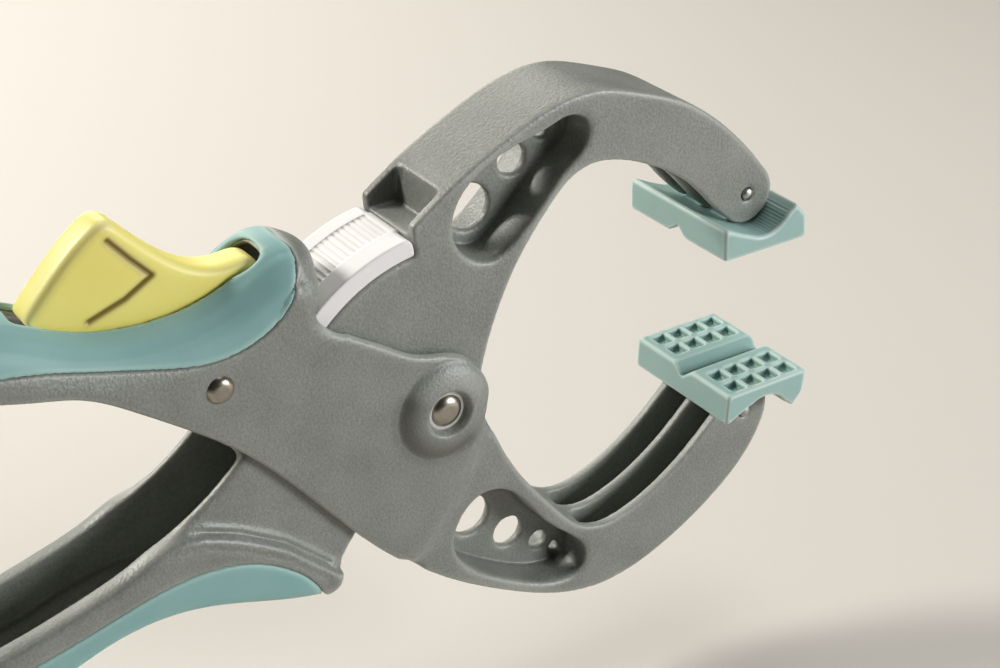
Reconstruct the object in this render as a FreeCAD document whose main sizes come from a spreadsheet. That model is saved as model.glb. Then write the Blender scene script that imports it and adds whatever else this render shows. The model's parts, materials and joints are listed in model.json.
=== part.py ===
import FreeCAD, Part
import Sketcher
import math
import os

Vector = FreeCAD.Vector
doc = FreeCAD.newDocument("SpringClamp")

# Driving dimensions in millimetres, degrees and counts
driving = {
    "jaw_reach": 82.8,            # pivot to the upper pad pin
    "lower_reach": 87.5,          # pivot to the lower pad pin
    "upper_pin_angle": 18.16,
    "lower_pin_angle": -19.78,
    "handle_length": 118.0,       # pivot to the ends of the handles
    "jaw_width": 19.8,
    "side_clearance": 0.3,
    "cheek_wall": 2.2,
    "boss_radius": 10.6,
    "boss_rise": 1.6,
    "boss_round": 1.3,
    "shell_round": 1.2,
    "ledge_round": 1.6,
    "web_thickness": 2.5,
    "rib_thickness": 2.5,
    "hub_radius": 10.2,
    "hub_clearance": 0.9,
    "sector_inner": 34.5,
    "sector_outer": 38.4,
    "sector_width": 18.8,
    "sector_front_angle": 97.3,
    "sector_back_angle": 171.0,
    "end_round": 1.9,
    "tooth_count": 38,
    "tooth_pitch": 1.9,
    "tooth_depth": 0.9,
    "tooth_near": 4.0,            # tooth band, from the mid-plane to the near side
    "tooth_far": 5.5,
    "tongue_depth": 4.6,
    "grip_skin": 1.2,
    "crown_skin": 1.4,
    "crown_round": 3.4,
    "release_width": 8.0,
    "release_round": 1.8,
    "slot_clearance": 0.35,
    "release_pin_radius": 1.5,
    "release_head_radius": 2.8,
    "main_pin_radius": 3.0,
    "main_head_radius": 3.5,
    "washer_radius": 4.3,
    "washer_thickness": 0.6,
    "recess_depth": 1.8,
    "head_height": 1.1,
    "bush_radius": 4.5,
    "running_fit": 0.05,
    "sector_pin_radius": 1.25,
    "pad_pin_radius": 1.4,
    "pin_rim": 0.45,
    "pad_length": 33.0,
    "pad_drop": 10.6,             # pad pin to clamping face
    "pad_trough": 7.1,
    "pad_round": 0.8,
    "jaw_tip_radius": 6.7,
    "lug_radius": 3.6,
    "lug_clearance": 0.35,
    "groove_width": 6.0,
    "groove_depth": 2.6,
    "pocket_depth": 1.6,
    "spring_wire": 1.8,
    "spring_coil_radius": 6.6,
    "spring_turns": 5,
    "turn_gap": 0.55,             # between neighbouring turns
    "release_spring_wire": 0.6,
    "release_spring_radius": 2.3,
    "release_spring_turns": 4,
    "spring_play": 0.03,          # at each end of the release spring
}

sheet = doc.addObject("Spreadsheet::Sheet", "Sizes")
for row, (alias, number) in enumerate(driving.items(), start=1):
    sheet.set("A%d" % row, alias)
    sheet.set("B%d" % row, str(number))
    sheet.setAlias("B%d" % row, alias)
doc.recompute()


def size(alias):
    return float(sheet.get(alias))


# Places that several pieces share
release_pivot = (-48.0, 20.5)
upper_pin = (size("jaw_reach") * math.cos(math.radians(size("upper_pin_angle"))),
             size("jaw_reach") * math.sin(math.radians(size("upper_pin_angle"))))
lower_pin = (size("lower_reach") * math.cos(math.radians(size("lower_pin_angle"))),
             size("lower_reach") * math.sin(math.radians(size("lower_pin_angle"))))
half_jaw = size("jaw_width") / 2
half_gap = half_jaw + size("side_clearance")
half_body = half_gap + size("cheek_wall")
boss_face = half_body + size("boss_rise")
slot_front = -32.1
slot_back = -82.0
slot_floor = 31.0
shelf_top = 27.0
shelf_span = (-70.5, -61.5)
spring_seat = (-66.0, 33.6)
spring_steps = 24
shank_end = 0.9
sector_pin_angles = (112.0, 164.0)
whole_width = "2 * (Sizes.jaw_width / 2 + Sizes.side_clearance + Sizes.cheek_wall)"
side_face = "Sizes.jaw_width / 2 + Sizes.side_clearance + Sizes.cheek_wall"
channel_depth = "Sizes.jaw_width / 2 - Sizes.rib_thickness - Sizes.web_thickness / 2"
beyond = 4.0


def polar(radius, angle):
    return (radius * math.cos(math.radians(angle)), radius * math.sin(math.radians(angle)))


# A jaw point keeps its place near the hub and moves out with its pad pin
def jaw(points, pin, drawn_pin):
    core = 41.0
    drawn = math.hypot(*drawn_pin)
    stretch = (math.hypot(*pin) - core) / (drawn - core)
    out = []
    for x, z in points:
        radius = math.hypot(x, z)
        factor = 1.0 if radius < core else (core + (radius - core) * stretch) / radius
        out.append((x * factor, z * factor))
    return out


def upper(*points):
    return jaw(points, upper_pin, (78.7, 25.8))


def lower(*points):
    return jaw(points, lower_pin, (82.3, -29.6))


# A handle point keeps its place as far as the release lever and stretches beyond it
def handle(*points):
    core = 86.0
    stretch = (size("handle_length") - core) / (118.0 - core)
    return [(x if x > -core else -core + (x + core) * stretch, z) for x, z in points]


def plain_name(label):
    return label.title().replace("_", "")


# Sketch and feature helpers
def new_body(label):
    body = doc.addObject("PartDesign::Body", label)
    body.Label = label
    return body


def sketch_on(body, name, role="XZ_Plane", offset=None):
    sketch = body.newObject("Sketcher::SketchObject", name)
    plane = [item for item in body.Origin.OriginFeatures if item.Role == role][0]
    sketch.AttachmentSupport = [(plane, "")]
    sketch.MapMode = "FlatFace"
    if offset is not None:
        sketch.setExpression("AttachmentOffset.Base.z", offset)
    return sketch


def point(place):
    return Vector(place[0], place[1], 0)


# An outline is a start point and steps: line, curve (spline through points) or arc (through, end)
def outline(sketch, start, *steps):
    here = start
    for kind, places in steps:
        if kind == "line":
            for place in places:
                sketch.addGeometry(Part.LineSegment(point(here), point(place)), False)
                here = place
        elif kind == "curve":
            curve = Part.BSplineCurve()
            curve.interpolate([point(here)] + [point(place) for place in places])
            sketch.addGeometry(curve, False)
            here = places[-1]
        else:
            sketch.addGeometry(Part.Arc(point(here), point(places[0]), point(places[1])), False)
            here = places[1]
    if math.dist(here, start) > 1e-6:
        sketch.addGeometry(Part.LineSegment(point(here), point(start)), False)


def loop(sketch, places):
    curve = Part.BSplineCurve()
    curve.interpolate([point(place) for place in places], PeriodicFlag=True)
    sketch.addGeometry(curve, False)


def circle(sketch, centre, radius):
    index = sketch.addGeometry(Part.Circle(point(centre), Vector(0, 0, 1), 1.0), False)
    constraint = sketch.addConstraint(Sketcher.Constraint("Radius", index, 1.0))
    sketch.setExpression("Constraints[%d]" % constraint, radius)


def pad(body, sketch, width):
    feature = body.newObject("PartDesign::Pad", sketch.Name + "Pad")
    feature.Profile = sketch
    feature.SideType = "Symmetric"
    feature.setExpression("Length", width)
    return feature


def pad_side(body, sketch, length):
    feature = body.newObject("PartDesign::Pad", sketch.Name + "Pad")
    feature.Profile = sketch
    feature.setExpression("Length", length)
    return feature


def cut(body, sketch, width):
    before = body.Tip
    feature = body.newObject("PartDesign::Pocket", sketch.Name + "Cut")
    feature.Profile = sketch
    feature.SideType = "Symmetric"
    feature.setExpression("Length", width)
    check_cut(before, feature)
    return feature


# A cut from the near side: the sketch lies at the offset and the cut runs towards the far side
def cut_side(body, sketch, depth):
    before = body.Tip
    feature = body.newObject("PartDesign::Pocket", sketch.Name + "Cut")
    feature.Profile = sketch
    feature.setExpression("Length", depth)
    check_cut(before, feature)
    return feature


def check_cut(before, feature):
    doc.recompute()
    if feature.Shape.Volume > before.Shape.Volume - 1e-3:
        raise RuntimeError(feature.Name + " cuts nothing")


def mirror(body, features, name):
    feature = body.newObject("PartDesign::Mirrored", name)
    feature.Originals = features
    plane = [item for item in body.Origin.OriginFeatures if item.Role == "XZ_Plane"][0]
    feature.MirrorPlane = (plane, [""])
    body.Tip = feature
    doc.recompute()
    return feature


# Rounds the edges of the tip that pass the test
def round_edges(body, name, radius, test):
    doc.recompute()
    base = body.Tip
    names = ["Edge%d" % number for number, edge in enumerate(base.Shape.Edges, start=1) if test(edge)]
    if not names:
        raise RuntimeError(name + " finds no edge")
    feature = body.newObject("PartDesign::Fillet", name)
    feature.Base = (base, names)
    feature.setExpression("Radius", radius)
    doc.recompute()
    return feature


def lies_at(edge, half_width):
    box = edge.BoundBox
    return abs(abs(box.YMin) - half_width) < 0.01 and box.YLength < 0.01


# Outlines of the fixed lever: upper handle, cheeks and lower jaw
fixed_crown = [(-40.5, 38.9), (-46.5, 36.4), (-55.5, 34.9), (-64.0, 35.3), (-72.2, 37.4), (-78.5, 40.2)]
fixed_crown_end = handle((-86.0, 43.6), (-96.0, 46.2), (-108.0, 48.6), (-113.5, 49.4))
fixed_end = handle((-118.0, 43.6), (-113.2, 37.0))
fixed_low = handle((-104.0, 34.4), (-88.5, 30.3)) + [(-81.6, 28.5), (-74.5, 26.6), (-69.8, 24.3)]
fixed_low_front = [(-55.3, 14.1), (-45.0, 5.7), (-34.3, -5.8), (-21.9, -21.1), (-7.6, -35.8)]
nose = [(-25.3, 33.8), (-25.4, 38.4), (-27.5, 41.4), (-31.0, 42.6), (-35.5, 41.6)]
grip_low = [(-31.2, 36.8), (-35.4, 30.6), (-40.1, 27.9), (-47.1, 26.3), (-55.0, 26.9), (-64.1, 29.4)]
grip_low_end = [(-72.3, 31.8), (-80.1, 33.8)] + handle((-88.0, 35.4), (-104.0, 38.9), (-112.0, 40.6))


# The upper grip's crown line, at a depth below its outside
def crown_line(depth):
    start = (-28.8, 42.2 - depth)
    crown = [(x, z - depth) for x, z in nose[3:] + fixed_crown + fixed_crown_end]
    tail_x, tail_z = fixed_end[0]
    end = (tail_x + depth, tail_z)
    return start, ("curve", crown), ("arc", [(tail_x + 1.3 + depth, tail_z + 3.8 - depth), end]), end


def grip_outline(sketch):
    start, crown, tail, end = crown_line(0.0)
    outline(sketch, start, crown, tail, ("arc", [(end[0] + 1.4, end[1] - 2.2), grip_low_end[-1]]),
            ("curve", list(reversed(grip_low + grip_low_end[:-1]))), ("line", [start]))


def fixed_lever():
    body = new_body("fixed_lever")
    shell = sketch_on(body, "FixedShell")
    outline(shell, (-27.1, 29.1),
            ("curve", nose + fixed_crown + fixed_crown_end),
            ("arc", fixed_end),
            ("curve", fixed_low + [(-65.0, 21.1)] + fixed_low_front),
            ("curve", [(1.6, -26.0), (7.0, -16.0), (10.2, -6.0)]),
            ("curve", [(10.6, 0.7), (8.6, 6.2), (5.0, 10.6), (0.1, 12.5), (-5.5, 13.9), (-13.2, 18.5),
                       (-20.2, 22.9), (-27.1, 29.1)]))
    pad(body, shell, whole_width)
    round_edges(body, "ShellRound", "Sizes.shell_round", lambda edge: lies_at(edge, half_body))
    hollow = sketch_on(body, "FixedHollow")
    clear = size("hub_radius") + size("hub_clearance")
    lip = size("sector_outer") + 0.9
    inner_end = handle((-93.0, 42.6), (-106.0, 45.4), (-112.5, 46.2))
    outline(hollow, polar(lip, 126),
            ("line", [polar(lip, 134.5), (-28.0, 36.0)]),
            ("curve", [(-29.6, 38.9), (-32.6, 39.6), (-40.5, 36.3), (-46.5, 33.9), (-55.5, 32.3),
                       (-64.0, 32.7), (-72.2, 34.8), (-78.5, 37.4), (-86.0, 40.8)] + inner_end),
            ("line", handle((-114.2, 40.0), (-112.4, 30.0))),
            ("line", [(-60.0, 0.0), (-40.0, -22.0), (-20.0, -44.0), (-8.6, -38.0), polar(13.6, 260)]),
            ("line", [polar(clear, 262)]),
            ("arc", [polar(clear, 295), polar(clear, 331)]),
            ("line", [(18.0, -8.0), (18.0, 18.0), (-12.0, 26.0)]))
    cut(body, hollow, "Sizes.jaw_width + 2 * Sizes.side_clearance")
    jaw_sketch = sketch_on(body, "FixedJaw")
    tip = size("jaw_tip_radius")
    pin_x, pin_z = lower_pin
    along = polar(tip, -18)
    outline(jaw_sketch, fixed_low_front[-1],
            ("curve", lower((-3.5, -39.6), (5.5, -46.4), (19.3, -54.6), (29.8, -59.4), (38.5, -61.6),
                            (47.5, -61.6), (59.8, -58.0), (73.8, -50.2), (83.6, -41.4))
             + [(pin_x + along[0], pin_z + along[1])]),
            ("arc", [(pin_x + 1.0, pin_z + math.sqrt(tip ** 2 - 1)),
                     (pin_x - 4.4, pin_z + math.sqrt(tip ** 2 - 4.4 ** 2))]),
            ("curve", lower((72.4, -29.4), (67.6, -33.9), (58.8, -40.3), (48.8, -44.7), (41.6, -45.4),
                            (36.0, -43.1), (30.8, -37.9), (25.4, -31.2), (19.1, -22.3), (14.8, -14.0))
             + [(11.8, -6.5)]),
            ("line", [polar(clear, 331)]),
            ("arc", [polar(clear, 295), polar(clear, 262)]),
            ("line", [polar(13.6, 260)]))
    pad(body, jaw_sketch, "Sizes.jaw_width")
    cut_side_pockets(body)
    cut_lower_channels(body)
    cut_grip_seat(body)
    cut_slot(body)
    spring_room(body)
    bosses(body)
    bores(body)
    shelf(body)
    return body


def cut_side_pockets(body):
    sketch = sketch_on(body, "LowerPocket", offset=side_face)
    loop(sketch, lower((12.2, -25.8), (17.0, -27.3), (21.6, -31.8), (26.0, -37.7), (31.0, -42.9),
                       (35.8, -47.2), (38.1, -51.4), (36.2, -55.6), (31.4, -56.3), (24.0, -54.0),
                       (14.5, -48.6), (7.2, -42.9), (3.7, -36.3), (6.0, -29.2)))
    pocket = cut_side(body, sketch, side_face + " - Sizes.web_thickness / 2")
    mirror(body, [pocket], "LowerPockets")
    web_holes(body, "LowerHoles", lower((13.0, -36.8), (22.9, -44.8), (31.0, -50.2), (35.4, -53.6)),
              (4.7, 3.6, 2.2, 1.2))


# Holes through the thin web between a jaw's two pockets
def web_holes(body, name, places, radii):
    sketch = sketch_on(body, name)
    for place, radius in zip(places, radii):
        sketch.addGeometry(Part.Circle(point(place), Vector(0, 0, 1), radius), False)
    cut(body, sketch, "2 * Sizes.web_thickness")


def cut_lower_channels(body):
    sketch = sketch_on(body, "LowerChannel", offset="Sizes.jaw_width / 2 - Sizes.rib_thickness")
    pin_x, pin_z = lower_pin
    right = pin_x + 4.75
    outline(sketch, lower((27.4, -30.0))[0],
            ("curve", lower((29.4, -35.6), (34.0, -41.6), (39.0, -46.0))),
            ("line", lower((42.2, -50.5), (43.8, -57.6))),
            ("curve", lower((50.0, -57.4), (58.5, -54.6), (71.8, -46.9), (81.0, -38.6))
             + [(right, pin_z - 3.0)]),
            ("line", [(right, pin_z + 14.0), lower((60.0, -20.0))[0]]))
    pocket = cut_side(body, sketch, channel_depth)
    mirror(body, [pocket], "LowerChannels")


def cut_grip_seat(body):
    sides = sketch_on(body, "GripSeatSide", offset=side_face)
    grip_outline(sides)
    side = cut_side(body, sides, "Sizes.grip_skin")
    mirror(body, [side], "GripSeatSides")
    band = sketch_on(body, "GripSeatBand")
    start, crown, tail, end = crown_line(size("crown_skin"))
    back = end[0] - beyond
    top = start[1] + 4 * beyond
    outline(band, start, crown, tail, ("line", [(end[0], end[1] - 2.2), (back, end[1] - 2.2), (back, top),
                                                (start[0], top)]))
    cut(body, band, whole_width)


# The slot for the release lever, round at its front end
def cut_slot(body):
    sketch = sketch_on(body, plain_name(body.Label) + "Slot", "XY_Plane", offset=str(slot_floor))
    half_slot = size("release_width") / 2 + size("slot_clearance")
    front = slot_front - half_slot
    outline(sketch, (front, -half_slot), ("arc", [(slot_front, 0.0), (front, half_slot)]),
            ("line", [(slot_back, half_slot), (slot_back, -half_slot)]))
    before = body.Tip
    slot = body.newObject("PartDesign::Pocket", sketch.Name + "Cut")
    slot.Profile = sketch
    slot.Reversed = True
    slot.Length = fixed_crown_end[-1][1] - slot_floor + beyond
    check_cut(before, slot)


def spring_room(body):
    sketch = sketch_on(body, "SpringRoom")
    outline(sketch, (0.6, -9.0), ("line", [(-4.6, -31.0), (0.8, -31.0), (5.6, -9.0)]))
    cut(body, sketch, "Sizes.jaw_width - 2 * Sizes.rib_thickness")


def bosses(body):
    sketch = sketch_on(body, "Boss", offset="Sizes.jaw_width / 2 + Sizes.side_clearance")
    circle(sketch, (0, 0), "Sizes.boss_radius")
    boss = pad_side(body, sketch, "Sizes.cheek_wall + Sizes.boss_rise")
    mirror(body, [boss], "Bosses")
    round_edges(body, "BossRound", "Sizes.boss_round", lambda edge: lies_at(edge, boss_face))


def bores(body):
    sketch = sketch_on(body, "MainBore")
    circle(sketch, (0, 0), "Sizes.main_pin_radius + Sizes.running_fit")
    cut(body, sketch, "Sizes.jaw_width * 2")
    recess = sketch_on(body, "WasherRecess", offset=side_face + " + Sizes.boss_rise")
    circle(recess, (0, 0), "Sizes.washer_radius + Sizes.running_fit")
    seat = cut_side(body, recess, "Sizes.recess_depth")
    mirror(body, [seat], "WasherRecesses")
    release = sketch_on(body, "ReleaseBore")
    circle(release, release_pivot, "Sizes.release_pin_radius + Sizes.running_fit")
    cut(body, release, "Sizes.jaw_width * 2")
    pin_bore(body, lower_pin, "Lower")


# A pad pin's bore through the jaw tip, sunk a little round the pin's ends
def pin_bore(body, pin, name):
    bore = sketch_on(body, name + "PinBore")
    circle(bore, pin, "Sizes.pad_pin_radius")
    cut(body, bore, "Sizes.jaw_width * 2")
    rim = sketch_on(body, name + "PinRim", offset="Sizes.jaw_width / 2")
    circle(rim, pin, "Sizes.pad_pin_radius + Sizes.pin_rim")
    sunk = cut_side(body, rim, "Sizes.pin_rim")
    mirror(body, [sunk], name + "PinRims")


# The shelf between the handle's walls that the release spring stands on
def shelf(body):
    sketch = sketch_on(body, "SpringShelf")
    left, right = shelf_span
    bottom = shelf_top - 2.0
    outline(sketch, (left, bottom), ("line", [(right, bottom), (right, shelf_top), (left, shelf_top)]))
    pad(body, sketch, "Sizes.jaw_width + 2 * Sizes.side_clearance + Sizes.cheek_wall / 2")


def fixed_lever_grip():
    body = new_body("fixed_lever_grip")
    skin = sketch_on(body, "GripSkin")
    grip_outline(skin)
    pad(body, skin, whole_width)
    core = sketch_on(body, "GripCore")
    start, crown, tail, end = crown_line(size("crown_skin"))
    outline(core, start, crown, tail, ("line", [(end[0], 20.0), (-10.0, 20.0), (-10.0, start[1])]))
    cut(body, core, whole_width + " - 2 * Sizes.grip_skin")
    cut_slot(body)
    round_edges(body, "GripRound", "Sizes.crown_round",
                lambda edge: lies_at(edge, half_body) and edge.BoundBox.ZMax > 44.0
                and edge.BoundBox.XLength > 20)
    return body


# Outlines of the moving lever: lower handle, hub, fan and upper jaw
ledge = [(-27.1, -28.0), (-36.2, -19.6), (-46.2, -13.4), (-53.7, -10.3), (-60.4, -9.8)]
rim = [(-49.6, -2.9), (-54.6, -6.4), (-60.6, -9.7)]
low_rim = [(-68.6, -13.4), (-77.4, -16.5)]
low_rim += handle((-86.0, -18.9), (-95.0, -21.0), (-106.0, -23.2), (-113.0, -24.7))
moving_end = handle((-118.0, -31.2), (-113.6, -38.4))
moving_low = handle((-104.0, -36.7), (-94.0, -34.1)) + [(-81.2, -30.2), (-73.9, -27.8), (-65.0, -26.4),
                                                        (-57.3, -26.8), (-48.2, -29.0), (-37.2, -32.6)]
moving_grip_top = [(-74.7, -21.4), (-63.5, -18.7), (-53.5, -18.0), (-44.1, -19.9), (-36.7, -24.1),
                   (-30.6, -30.4), (-28.6, -34.6)]
moving_grip_end = handle((-88.8, -24.8), (-104.0, -28.0))


def moving_lever():
    body = new_body("moving_lever")
    plate = sketch_on(body, "MovingPlate")
    hub = size("hub_radius")
    inner = size("sector_inner")
    tip = size("jaw_tip_radius")
    pin_x, pin_z = upper_pin
    beak = polar(tip, -45)
    tip_start = (pin_x + 4.6, pin_z + math.sqrt(tip ** 2 - 4.6 ** 2))
    tip_end = (pin_x - 4.9, pin_z - math.sqrt(tip ** 2 - 4.9 ** 2))
    outline(plate, (-5.0, 40.3),
            ("curve", upper((0.0, 43.8), (5.4, 47.4), (13.8, 51.9), (22.4, 55.9), (31.1, 58.4),
                            (37.8, 58.7), (43.2, 57.6), (50.8, 55.1), (59.1, 51.8), (66.3, 47.4),
                            (73.0, 41.9), (78.9, 36.0)) + [tip_start]),
            ("arc", [(pin_x + beak[0], pin_z + beak[1]), tip_end]),
            ("curve", upper((68.4, 26.5), (63.5, 31.6), (58.2, 35.6), (51.5, 39.3), (43.6, 42.3),
                            (37.3, 43.0), (32.7, 41.6), (28.2, 37.6), (21.9, 30.2), (16.2, 20.6))
             + [(12.4, 10.9), (10.9, 5.6), polar(hub, 5)]),
            ("arc", [polar(hub, -60), polar(hub, -125)]),
            ("curve", [(-13.4, -16.6), (-20.1, -23.8), (-24.0, -29.6)]),
            ("curve", [(-27.0, -32.6), (-37.2, -31.2), (-57.3, -25.4), (-73.9, -26.4)]
             + handle((-94.0, -32.7), (-110.0, -37.0), (-116.4, -31.0), (-112.8, -24.8))),
            ("curve", list(reversed(rim + low_rim[:-1])) + [(-43.3, 2.9)]),
            ("line", [polar(size("sector_outer"), 172.2), polar(inner, 172.2)]),
            ("arc", [polar(inner, 135), polar(inner, 97.3)]))
    pad(body, plate, "Sizes.jaw_width")
    shell = sketch_on(body, "MovingShell")
    outline(shell, (-23.8, -30.6),
            ("curve", ledge + low_rim),
            ("arc", moving_end),
            ("curve", moving_low + [(-28.6, -34.6)]),
            ("curve", [(-25.0, -33.6), (-23.8, -30.6)]))
    pad(body, shell, whole_width)
    round_edges(body, "LedgeRound", "Sizes.ledge_round", lambda edge: lies_at(edge, half_body))
    bead = sketch_on(body, "LedgeBead")
    low = [(x, z - 3.0) for x, z in reversed(ledge)]
    high = [(x + 0.3, z + 1.7) for x, z in ledge[:-1]] + [(-57.8, -8.3)]
    outline(bead, (-23.6, -29.0), ("curve", high), ("line", [low[0]]), ("curve", low[1:]))
    pad(body, bead, "Sizes.jaw_width + 2 * Sizes.side_clearance + Sizes.cheek_wall / 2")
    channel = sketch_on(body, "HandleChannel")
    outline(channel, polar(11.6, 122),
            ("line", [polar(31.5, 106)]),
            ("arc", [polar(31.5, 135), polar(31.5, 171)]),
            ("line", [(-38.0, 0.6), (-46.5, 3.0)]),
            ("line", handle((-70.0, 6.0), (-116.0, -10.0), (-114.6, -30.0), (-111.8, -34.6))),
            ("curve", handle((-94.0, -30.2)) + [(-81.2, -26.7), (-73.9, -24.3), (-65.0, -22.9),
                                                (-57.3, -23.3), (-48.2, -25.4), (-37.2, -28.4),
                                                (-29.0, -28.2), (-22.2, -22.2), (-9.0, -8.4)]),
            ("line", [polar(5.0, 225), polar(5.0, 180), polar(11.6, 168)]),
            ("arc", [polar(11.6, 145), polar(11.6, 122)]))
    cut(body, channel, "Sizes.jaw_width - 2 * Sizes.rib_thickness")
    moving_jaw_cuts(body)
    moving_hub_cuts(body)
    moving_grip_seat(body)
    return body


def moving_jaw_cuts(body):
    sketch = sketch_on(body, "UpperPocket", offset=side_face)
    loop(sketch, upper((33.4, 54.2), (36.2, 51.2), (35.2, 47.3), (30.2, 42.8), (25.5, 37.7),
                       (20.4, 32.6), (13.6, 28.5), (8.2, 30.2), (4.6, 35.2), (5.2, 41.8),
                       (11.0, 47.8), (20.4, 51.6), (28.0, 53.6)))
    pocket = cut_side(body, sketch, side_face + " - Sizes.web_thickness / 2")
    mirror(body, [pocket], "UpperPockets")
    web_holes(body, "UpperHoles", upper((13.2, 36.6), (23.6, 44.4), (30.8, 49.4), (34.0, 51.6)),
              (4.9, 3.3, 2.1, 1.1))
    channel = sketch_on(body, "UpperChannel", offset="Sizes.jaw_width / 2 - Sizes.rib_thickness")
    pin_x, pin_z = upper_pin
    right = pin_x + 4.75
    outline(channel, upper((26.0, 33.0))[0],
            ("curve", upper((28.6, 40.6), (33.6, 44.2), (38.4, 46.0))),
            ("line", upper((40.4, 49.6), (41.6, 54.8))),
            ("curve", upper((50.0, 51.8), (58.0, 48.6), (65.2, 44.0), (71.4, 38.6), (77.4, 32.6))
             + [(right, pin_z + 2.0)]),
            ("line", [(right, pin_z - 14.0), upper((60.0, 16.0))[0]]))
    groove = cut_side(body, channel, channel_depth)
    mirror(body, [groove], "UpperChannels")
    rear = sketch_on(body, "RearPocket")
    outline(rear, (-9.0, 37.9), ("line", [(1.6, 37.9), (2.7, 48.5), (-9.0, 48.5)]))
    cut(body, rear, "Sizes.jaw_width - 2 * Sizes.rib_thickness")
    pin_bore(body, upper_pin, "Upper")


def moving_hub_cuts(body):
    room = sketch_on(body, "CoilRoom")
    circle(room, (0, 0), "Sizes.spring_coil_radius + Sizes.spring_wire")
    cut(body, room, "Sizes.jaw_width - 2 * Sizes.rib_thickness")
    gate = sketch_on(body, "LegGate")
    outline(gate, polar(6.0, 238), ("line", [polar(13.0, 238)]),
            ("arc", [polar(13.0, 268), polar(13.0, 302)]), ("line", [polar(6.0, 302)]))
    cut(body, gate, "Sizes.jaw_width - 2 * Sizes.rib_thickness")
    bore = sketch_on(body, "BushBore")
    circle(bore, (0, 0), "Sizes.bush_radius + Sizes.running_fit")
    cut(body, bore, "Sizes.jaw_width * 2")
    tongue = sketch_on(body, "TongueSeat")
    seat = size("sector_inner") - size("tongue_depth")
    outline(tongue, polar(seat, 106), ("arc", [polar(seat, 138), polar(seat, 171)]),
            ("line", [polar(40.0, 171)]), ("arc", [polar(40.0, 138), polar(40.0, 106)]))
    cut(body, tongue, "Sizes.jaw_width - 2 * Sizes.rib_thickness")
    pins = sketch_on(body, "SectorPinBores")
    for angle in sector_pin_angles:
        circle(pins, sector_pin_place(angle), "Sizes.sector_pin_radius")
    cut(body, pins, "Sizes.jaw_width * 2")


def sector_pin_place(angle):
    return polar(size("sector_inner") - size("tongue_depth") / 2, angle)


def moving_grip_seat(body):
    sides = sketch_on(body, "MovingGripSeatSide", offset=side_face)
    moving_grip_outline(sides)
    side = cut_side(body, sides, "Sizes.grip_skin")
    mirror(body, [side], "MovingGripSeatSides")
    band = sketch_on(body, "MovingGripSeatBand")
    skin_line = moving_skin_line()
    back = skin_line[-1][0] - 2 * beyond
    outline(band, skin_line[0], ("curve", skin_line[1:]),
            ("line", [(back, skin_line[-1][1]), (back, -50.0), (skin_line[0][0], -50.0)]))
    cut(body, band, whole_width)


# The line where the lower handle's soft skin lies on its core
def moving_skin_line():
    inset = size("crown_skin")
    low = [(x, z + inset) for x, z in reversed(moving_low)]
    end = [(moving_end[1][0] + 0.4, moving_end[1][1] + inset), (moving_end[0][0] + inset, -30.0)]
    return [(-28.55, -34.62 + inset)] + low + end


def moving_grip_outline(sketch):
    end = (moving_end[0][0] - 0.05, -30.6)
    outline(sketch, moving_grip_top[-1],
            ("curve", list(reversed(moving_grip_top[:-1])) + moving_grip_end + [(end[0] + 2.0, -30.2), end]),
            ("curve", [(moving_end[0][0] + 0.9, -35.0), moving_end[1]]),
            ("curve", moving_low + [moving_grip_top[-1]]))


def moving_lever_grip():
    body = new_body("moving_lever_grip")
    skin = sketch_on(body, "MovingGripSkin")
    moving_grip_outline(skin)
    pad(body, skin, whole_width)
    core = sketch_on(body, "MovingGripCore")
    skin_line = moving_skin_line()
    outline(core, skin_line[0], ("curve", skin_line[1:]),
            ("line", [(skin_line[-1][0], -5.0), (-20.0, -5.0), (-20.0, skin_line[0][1])]))
    cut(body, core, whole_width + " - 2 * Sizes.grip_skin")
    round_edges(body, "MovingGripRound", "Sizes.crown_round",
                lambda edge: lies_at(edge, half_body) and edge.BoundBox.ZMin < -36.0
                and edge.BoundBox.XLength > 40 and edge.CenterOfMass.z < -27.0)
    return body


def ratchet_sector():
    body = new_body("ratchet_sector")
    front = size("sector_front_angle")
    back = size("sector_back_angle")
    middle = (front + back) / 2
    inner = size("sector_inner")
    outer = size("sector_outer")
    rounding = size("end_round")
    turn = math.degrees(rounding / outer)
    band = sketch_on(body, "SectorBand")
    outline(band, polar(inner, front), ("arc", [polar(inner, middle), polar(inner, back)]),
            ("line", [polar(outer, back)]), ("arc", [polar(outer, middle), polar(outer, front + turn)]),
            ("arc", [polar(outer - 0.29 * rounding, front + 0.29 * turn),
                     polar(outer - rounding, front)]))
    pad(body, band, "Sizes.sector_width")
    tongue = sketch_on(body, "SectorTongue")
    low = inner - size("tongue_depth")
    outline(tongue, polar(low, front + 9.2), ("arc", [polar(low, middle), polar(low, back - 0.4)]),
            ("line", [polar(inner + 1, back - 0.4)]),
            ("arc", [polar(inner + 1, middle), polar(inner + 1, front + 9.2)]))
    pad(body, tongue, "Sizes.jaw_width - 2 * Sizes.rib_thickness - 4 * Sizes.running_fit")
    teeth = sketch_on(body, "SectorTeeth", offset="Sizes.tooth_near")
    pitch = size("tooth_pitch")
    root = outer - size("tooth_depth")
    places = []
    for number in range(int(size("tooth_count"))):
        start = front + turn + number * pitch
        places += [polar(root, start), polar(outer - 0.15, start + 0.9 * pitch)]
    last = min(front + turn + int(size("tooth_count")) * pitch, back)
    outline(teeth, places[0], ("line", places[1:] + [polar(outer + 2, last)]),
            ("arc", [polar(outer + 2, middle), polar(outer + 2, front + turn)]))
    cut_side(body, teeth, "Sizes.tooth_near + Sizes.tooth_far")
    pins = sketch_on(body, "SectorPinHoles")
    for angle in sector_pin_angles:
        circle(pins, sector_pin_place(angle), "Sizes.sector_pin_radius")
    cut(body, pins, "Sizes.jaw_width * 2")
    return body


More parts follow.
